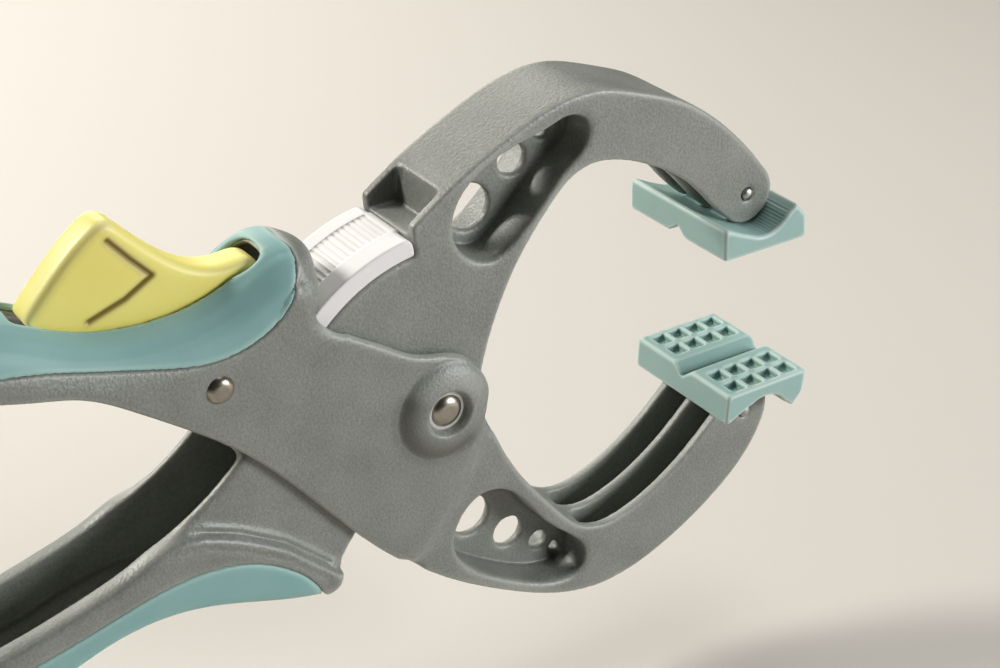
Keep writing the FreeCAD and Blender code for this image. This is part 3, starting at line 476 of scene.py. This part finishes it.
# a pin's flat ends become low domes
def domeEnds(spots, settings):
    centre = spots[:, [0, 2]].mean(axis=0)
    radius = np.linalg.norm(spots[:, [0, 2]] - centre, axis=1)
    rise = settings["rise"] * np.clip(1 - (radius / settings["radius"]) ** 2, 0, 1)
    rise[abs(spots[:, 1]) < settings["beyond"]] = 0
    spots[:, 1] += np.sign(spots[:, 1]) * rise


# lowers the tips of the teeth towards their roots, for finer lines
def shallowTeeth(spots, settings):
    radius = np.linalg.norm(spots[:, [0, 2]], axis=1)
    depth = settings["outer"] - radius
    low, high = settings["across"]
    inside = (depth > 0) & (depth < settings["depth"]) & (spots[:, 1] > low) & (spots[:, 1] < high)
    rise = np.where(inside, depth * (1 - settings["share"]), 0) / radius
    spots[:, 0] *= 1 + rise
    spots[:, 2] *= 1 + rise


shapers = {"dome": dome, "push": push, "bead": bead, "domeBoss": domeBoss, "troughRidges": troughRidges,
           "domeEnds": domeEnds, "shallowTeeth": shallowTeeth}


def shape(piece, rows):
    spots = places(piece)
    for kind, settings in rows:
        shapers[kind](spots, settings)
    setPlaces(piece, spots)


def weigh(piece, name, weights):
    group = piece.vertex_groups.new(name=name)
    levels = rounding["levels"]
    steps = np.round(np.clip(weights, 0, 1) * levels).astype(int)
    for step in range(1, levels + 1):
        members = np.flatnonzero(steps == step)
        if len(members):
            group.add(members.tolist(), step / levels, "REPLACE")


# extra softness within reach of a line, full over the part of the reach that the hold gives
def softZones(piece, zones, voxel):
    for zone in zones:
        spots = places(piece)
        share = 1 - lineDistance(spots, zone["line"]) / zone["reach"]
        share = np.clip(share * zone["hold"], 0, 1)
        low, high = zone["across"]
        share[(abs(spots[:, 1]) < low) | (abs(spots[:, 1]) > high)] = 0
        weigh(piece, zone["name"], share)
        relax(piece, zone["softness"], voxel, zone["name"])


def thin(piece, triangles):
    count = sum(len(face.vertices) - 2 for face in piece.data.polygons)
    if count > triangles:
        fewer = piece.modifiers.new("fewer", "DECIMATE")
        fewer.ratio = triangles / count
        applyModifier(piece, fewer)


def setMark(piece, name, values):
    mark = piece.data.attributes.new(name, "FLOAT", "POINT")
    mark.data.foreach_set("value", values.astype(np.float32))


# bends in 1/mm where the lighter edges (painted highlight with a little wear) and the painted shade in
# hollows begin and are full, rounds of averaging, and a mark's soft edge in mm
marking = {"wear_and_highlight": (0.12, 0.5), "painted_shade": (0.08, 0.5), "calm": 4, "edge": 0.2}


# lighter where the surface bends outwards, a painted highlight with a little wear; painted shade in hollows
# where it bends inwards
def markEdges(piece, spots, calm):
    normals = np.zeros(len(spots) * 3)
    piece.data.vertices.foreach_get("normal", normals)
    normals = normals.reshape(-1, 3)
    ends = np.zeros(len(piece.data.edges) * 2, dtype=int)
    piece.data.edges.foreach_get("vertices", ends)
    ends = ends.reshape(-1, 2)
    count = np.bincount(ends.ravel(), minlength=len(spots))
    bend = np.zeros(len(spots))
    for here, there in (ends.T, ends[:, ::-1].T):
        step = spots[there] - spots[here]
        long = np.maximum((step * step).sum(axis=1), tiny)
        bend += np.bincount(here, -2 * (step * normals[here]).sum(axis=1) / long, len(spots))
    bend /= np.maximum(count, 1)
    for turn in range(calm):
        spread = np.bincount(ends[:, 0], bend[ends[:, 1]], len(spots))
        spread += np.bincount(ends[:, 1], bend[ends[:, 0]], len(spots))
        bend = (bend + spread) / (1 + count)
    wear_and_highlight = smooth(bend, *marking["wear_and_highlight"])
    painted_shade = smooth(-bend, *marking["painted_shade"])
    return {"wear_and_highlight": wear_and_highlight, "painted_shade": painted_shade, "mark": np.zeros(len(spots))}


def finishPiece(piece, nodeName, settings):
    thin(piece, rounding["triangles"])
    spots = places(piece)
    marks = markEdges(piece, spots, settings.get("calm", marking["calm"]))
    edge = marking["edge"]
    # the listed lines add painted highlights and painted shade
    for row in settings.get("marks", []):
        gap = lineDistance(spots, row["line"]) / row["width"]
        mark = row["dark"] * np.exp(-gap ** 2)
        low, high = row["across"]
        mark *= smooth(spots[:, 1], low - edge, low) * (1 - smooth(spots[:, 1], high, high + edge))
        name = row.get("kind", "mark")
        marks[name] = np.maximum(marks[name], mark)
    for name, values in marks.items():
        setMark(piece, name, values)
    only(piece)
    bpy.ops.object.shade_smooth()
    piece.data.materials.clear()
    piece.data.materials.append(materials[settings.get("finish", slotOf[nodeName])])
    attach(piece, bodyOf[nodeName])
    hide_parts(nodeName)
    print(nodeName, "softened,", len(piece.data.polygons), "faces")


# a lever and its soft grip are rounded as one body, then each is drawn onto that shape
def joined(nodeNames, name, plugs):
    body = copyOf(nodeNames[0], name)
    others = [copyOf(nodeName, name + "Part") for nodeName in nodeNames[1:]]
    for plug in plugs:
        others.append(copyOf(plug, name + "Plug"))
        swell = others[-1].modifiers.new("swell", "DISPLACE")
        swell.mid_level = 0
        swell.strength = rounding["swell"] * mm
        applyModifier(others[-1], swell)
    only(body)
    for other in others:
        other.select_set(True)
    if others:
        bpy.ops.object.join()
    return body


def softLever(settings):
    voxel = settings["voxel"] * coarse
    plugs = settings.get("plugs", [])
    body = joined(settings["nodes"], "roundBody", plugs)
    voxelSkin(body, voxel)
    sharp = BVHTree.FromObject(body, bpy.context.evaluated_depsgraph_get())
    relax(body, settings["softness"], voxel)
    softZones(body, settings["zones"], voxel)
    for nodeName in settings["nodes"]:
        piece = joined([nodeName], nodeName + "Moulded", plugs if nodeName == settings["nodes"][0] else [])
        voxelSkin(piece, voxel)
        gaps = np.array([sharp.find_nearest(vertex.co)[3] for vertex in piece.data.vertices])
        weigh(piece, "outside", (gaps < rounding["outside"] * voxel * mm).astype(float))
        drawn = piece.modifiers.new("drawn", "SHRINKWRAP")
        drawn.wrap_method = "NEAREST_SURFACEPOINT"
        drawn.target = body
        drawn.vertex_group = "outside"
        applyModifier(piece, drawn)
        relax(piece, settings["ease"], voxel)
        shape(piece, settings["shape"])
        softZones(piece, settings.get("after", {}).get(nodeName, []), voxel)
        finishPiece(piece, nodeName, settings)
    bpy.data.objects.remove(body)


def arcPlace(radius, degrees):
    return (radius * math.cos(math.radians(degrees)), radius * math.sin(math.radians(degrees)))


bossFoot = 10.6   # mm, the radius where the pivot's boss meets the cheek

fixedLever = {
    "nodes": ["fixed_lever", "fixed_lever_grip"],
    "voxel": 0.42,
    "softness": 0.5,
    "ease": 0.4,
    "calm": 10,
    "zones": [
        {"name": "cheekStep",
         "line": [(11.5, -3.5), (10.6, -6.5), (6.5, -17), (1, -27), (-7.6, -35.8)],
         "reach": 5.0, "hold": 2.0, "softness": 2.0, "across": (8, 20)},
        {"name": "pocketRim",
         "line": [(12.2, -25.8), (17.0, -27.3), (21.6, -31.8), (26.0, -37.7), (31.0, -42.9),
                  (35.8, -47.2), (38.1, -51.4), (36.2, -55.6), (31.4, -56.3), (24.0, -54.0),
                  (14.5, -48.6), (7.2, -42.9), (3.7, -36.3), (6.0, -29.2), (12.2, -25.8)],
         "reach": 2.4, "hold": 2.0, "softness": 0.8, "across": (8, 20)},
        {"name": "slotRim",
         "line": [(-29.0, 41.8), (-31.0, 42.6), (-36.0, 41.4)],
         "reach": 5.0, "hold": 2.0, "softness": 1.7, "across": (0, 8.5)},
        {"name": "bossFoot",
         "line": [(bossFoot * math.cos(turn / 4), bossFoot * math.sin(turn / 4)) for turn in range(26)],
         "reach": 2.0, "hold": 2.0, "softness": 0.5, "across": (10, 20)},
    ],
    "shape": [
        ("dome", {"line": [(-26.0, 31.0), (-25.3, 33.8), (-25.4, 38.4), (-27.5, 41.4), (-31.0, 42.6),
                           (-35.5, 41.6), (-40.5, 38.9), (-46.5, 36.4), (-55.5, 34.9), (-64.0, 35.3),
                           (-72.2, 37.4), (-78.5, 40.2), (-86.0, 43.6), (-96.0, 46.2), (-108.0, 48.6),
                           (-118.0, 50.0)],
                  "half": 12.4, "deep": 12.4, "way": (0, 6, 60, 100), "power": (7.0, 2.1, 2.4, 3.0),
                  "flatPower": 8, "highest": 9, "narrow": (0.6, 1), "sink": (0.25, 0.7),
                  "sides": (4.6, 7.5)}),
        ("push", {"at": (-24.6, 36.8), "reach": 6.5, "step": (2.7, 0.5), "across": 11.0,
                  "outside": (38.6, 42.5)}),
        ("push", {"at": (-31.0, 41.0), "reach": 4.0, "step": (-2.4, 0.0), "across": 4.5}),
        ("domeBoss", {"radius": 10.9, "face": 12.4, "old": 1.6, "rise": 2.6, "fall": 0.65,
                      "recess": (4.5, 5.3), "end": 11.3}),
    ],
    "after": {"fixed_lever": [
        {"name": "noseFront",
         "line": [(-23.0, 29.0), (-24.0, 33.0), (-23.0, 38.0)],
         "reach": 6.5, "hold": 3.0, "softness": 2.0, "across": (0, 20)},
    ]},
    "marks": [
        # painted highlight along the front rim of the slot, where the light catches it
        {"line": [(-37.5, 41.0), (-34.2, 42.4), (-33.2, 40.5)],
         "width": 1.3, "dark": 1.6, "across": (-4.0, 7.0), "kind": "wear_and_highlight"},
        # painted shade on the boss's lower-left slope, which faces away from the light
        {"line": [arcPlace(9.3, turn) for turn in range(155, 301, 5)],
         "width": 2.3, "dark": 1.3, "across": (-20, -12.3), "kind": "painted_shade"},
        # painted highlight on the boss's upper-right slope
        {"line": [arcPlace(7.4, turn) for turn in range(30, 131, 5)],
         "width": 2.2, "dark": 0.5, "across": (-20, -12.3), "kind": "wear_and_highlight"},
        # painted highlight along the rims of the lower jaw's channel
        {"line": [(70.9, -25.6), (66.1, -31.3), (59.3, -36.5), (50.4, -39.9), (41.3, -41.2), (35.5, -40.4)],
         "width": 1.1, "dark": 1.3, "across": (-12.2, 12.2), "kind": "wear_and_highlight"},
    ],
}

nearRim = [(-44.1, 3.1), (-51.0, -2.9), (-58.0, -8.0), (-68.1, -12.4), (-78.2, -15.9),
           (-88.1, -17.8), (-94.5, -18.7), (-118.0, -26.0)]

movingLever = {
    "nodes": ["moving_lever", "moving_lever_grip"],
    "plugs": ["sector_pins"],
    "voxel": 0.42,
    "softness": 0.42,
    "ease": 0.4,
    "calm": 10,
    "zones": [
        {"name": "pocketRim",
         "line": [(33.4, 54.2), (36.2, 51.2), (35.2, 47.3), (30.2, 42.8), (25.5, 37.7),
                  (20.4, 32.6), (13.6, 28.5), (8.2, 30.2), (4.6, 35.2), (5.2, 41.8),
                  (11.0, 47.8), (20.4, 51.6), (28.0, 53.6), (33.4, 54.2)],
         "reach": 2.4, "hold": 2.0, "softness": 0.8, "across": (8, 20)},
        {"name": "handleRim",
         "line": [(-60.4, -9.8), (-68.6, -13.4), (-77.4, -16.5), (-86.0, -18.9), (-118.0, -26)],
         "reach": 3.0, "hold": 2.0, "softness": 0.8, "across": (9, 20)},
    ],
    "shape": [
        ("bead", {"line": [(-27.0, -27.2), (-36.1, -18.8), (-46.1, -12.6), (-53.6, -9.5), (-58.0, -9.0)],
                  "width": 0.5, "height": -0.45, "above": 9.0}),
        ("bead", {"line": [(-28.0, -29.9), (-36.7, -21.6), (-46.8, -15.4), (-54.0, -12.2), (-61.0, -11.4)],
                  "width": 0.8, "height": -0.3, "above": 9.0}),
    ],
    "after": {"moving_lever": [
        {"name": "rimCalm", "line": nearRim, "reach": 4.0, "hold": 2.0, "softness": 1.0, "across": (7, 20)},
    ]},
    "marks": [
        # painted highlight along the near rim of the lower handle's channel
        {"line": nearRim,
         "width": 1.1, "dark": 1.8, "across": (-14, -8.6), "kind": "wear_and_highlight"},
        # painted highlight along the far rim of the lower handle's channel
        {"line": [(-44.7, -2.2), (-51.4, -5.4), (-58.2, -9.2), (-67.1, -14.0), (-73.7, -17.4),
                  (-82.1, -19.8), (-118.0, -28.0)],
         "width": 1.0, "dark": 1.7, "across": (8.6, 14), "kind": "wear_and_highlight"},
        # painted shade, near black, on the far inner wall of the rear pocket
        {"line": [(-6.0, 40.5), (0.0, 44.0)],
         "width": 5.0, "dark": 0.55, "across": (5.5, 10.0)},
        # painted shade on the end wall of the rear pocket
        {"line": [(2.1, 38.5), (2.8, 47.5)],
         "width": 0.9, "dark": 0.35, "across": (-9.5, 9.5), "kind": "painted_shade"},
    ],
}

softLever(fixedLever)
softLever(movingLever)


# single mouldings and turned pieces; the angle on the thumb lever is a shallow groove with painted shade
# along it
thumbMark = [(-63.2, 51.3), (-59.4, 46.7), (-55.6, 42.5), (-61.1, 39.3), (-68.2, 36.9)]
# the arc's tooth gaps: first and pitch in degrees, root as a radius in mm
sectorTurn = {"first": 100.1, "pitch": 1.9, "count": 37, "root": 37.9}
toothRoots = [arcPlace(sectorTurn["root"], sectorTurn["first"] + number * sectorTurn["pitch"])
              for number in range(sectorTurn["count"])]


def middleOf(nodeName):
    low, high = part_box(nodeName)
    return (0.5 * (low[0] + high[0]) / mm, 0.5 * (low[2] + high[2]) / mm)


# where the ridges fade: first and last in radians, skin and ends in mm
def padSettings(nodeName, pinName, down):
    ridges = {"pin": middleOf(pinName), "radius": 7.1, "pitch": 0.75, "height": 0.13, "down": down,
              "first": (0.05, 0.15), "last": (1.2, 1.3), "skin": (0.5, 0.9), "ends": (15.5, 15.9)}
    return {"node": nodeName, "voxel": 0.24, "softness": 0.26, "shape": [("troughRidges", ridges)]}


pinEnds = [("domeEnds", {"radius": 1.4, "rise": 0.45, "beyond": 9.4})]


def turnedSettings(nodeName, finish, rows):
    return {"node": nodeName, "voxel": 0.11, "softness": 0.1, "finish": finish, "shape": rows}


singles = [
    {"node": "release_lever", "voxel": 0.24, "softness": 0.8,
     "shape": [("push", {"at": (-34.6, 39.6), "reach": 5.5, "step": (0.0, 1.3)}),
               ("push", {"at": (-79.5, 40.0), "reach": 6.0, "step": (-0.8, 0.0)}),
               ("bead", {"line": thumbMark, "width": 0.42, "height": -0.5, "above": 3.0, "side": -1})],
     # painted shade along the groove of the angle
     "marks": [{"line": thumbMark, "width": 0.72, "dark": 0.95, "across": (-9, -2.6)}]},
    {"node": "ratchet_sector", "voxel": 0.22, "softness": 0.14,
     "shape": [("shallowTeeth", {"outer": 38.4, "depth": 1.0, "share": 0.4, "across": (-4.3, 5.8)})],
     # painted shade: near black at the far ends of the tooth gaps, and faint lines along the tooth roots
     "marks": [{"line": [root, root], "width": 0.3, "dark": 1.0, "across": (4.6, 5.5)} for root in toothRoots]
     + [{"line": [root, root], "width": 0.2, "dark": 0.16, "across": (-4.0, 4.1)} for root in toothRoots]},
    padSettings("upper_pad", "upper_pad_pin", -1),
    padSettings("lower_pad", "lower_pad_pin", 1),
    turnedSettings("upper_pad_pin", "bush_steel", pinEnds),
    turnedSettings("lower_pad_pin", "bush_steel", pinEnds),
    turnedSettings("near_rivet_washer", "washer_steel", []),
    turnedSettings("far_rivet_washer", "washer_steel", []),
]


def softSingle(settings):
    voxel = settings["voxel"] * coarse
    piece = copyOf(settings["node"], settings["node"] + "Moulded")
    voxelSkin(piece, voxel)
    relax(piece, settings["softness"], voxel)
    shape(piece, settings["shape"])
    finishPiece(piece, settings["node"], settings)


for settings in singles:
    softSingle(settings)


# the end of the main spring's free leg swings with the moving lever, the rest stays
springCut = {
    "x": -8.5,
    "pieces": [
        {"name": "mainSpringCoil", "body": "fixed_lever", "leg": False},
        {"name": "mainSpringLeg", "body": "moving_lever", "leg": True},
    ],
}


def cutSpring(piece, body, leg):
    cutter = bmesh.new()
    cutter.from_mesh(piece.data)
    everything = cutter.verts[:] + cutter.edges[:] + cutter.faces[:]
    bmesh.ops.bisect_plane(cutter, geom=everything, plane_co=(springCut["x"] * mm, 0, 0), plane_no=(1, 0, 0),
                           clear_inner=not leg, clear_outer=leg)
    bmesh.ops.holes_fill(cutter, edges=[edge for edge in cutter.edges if edge.is_boundary])
    cutter.to_mesh(piece.data)
    cutter.free()
    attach(piece, body)
    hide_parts("main_spring")
    print(piece.name, "cut,", len(piece.data.polygons), "faces")


springPieces = [copyOf("main_spring", row["name"]) for row in springCut["pieces"]]
for piece, row in zip(springPieces, springCut["pieces"]):
    cutSpring(piece, row["body"], row["leg"])
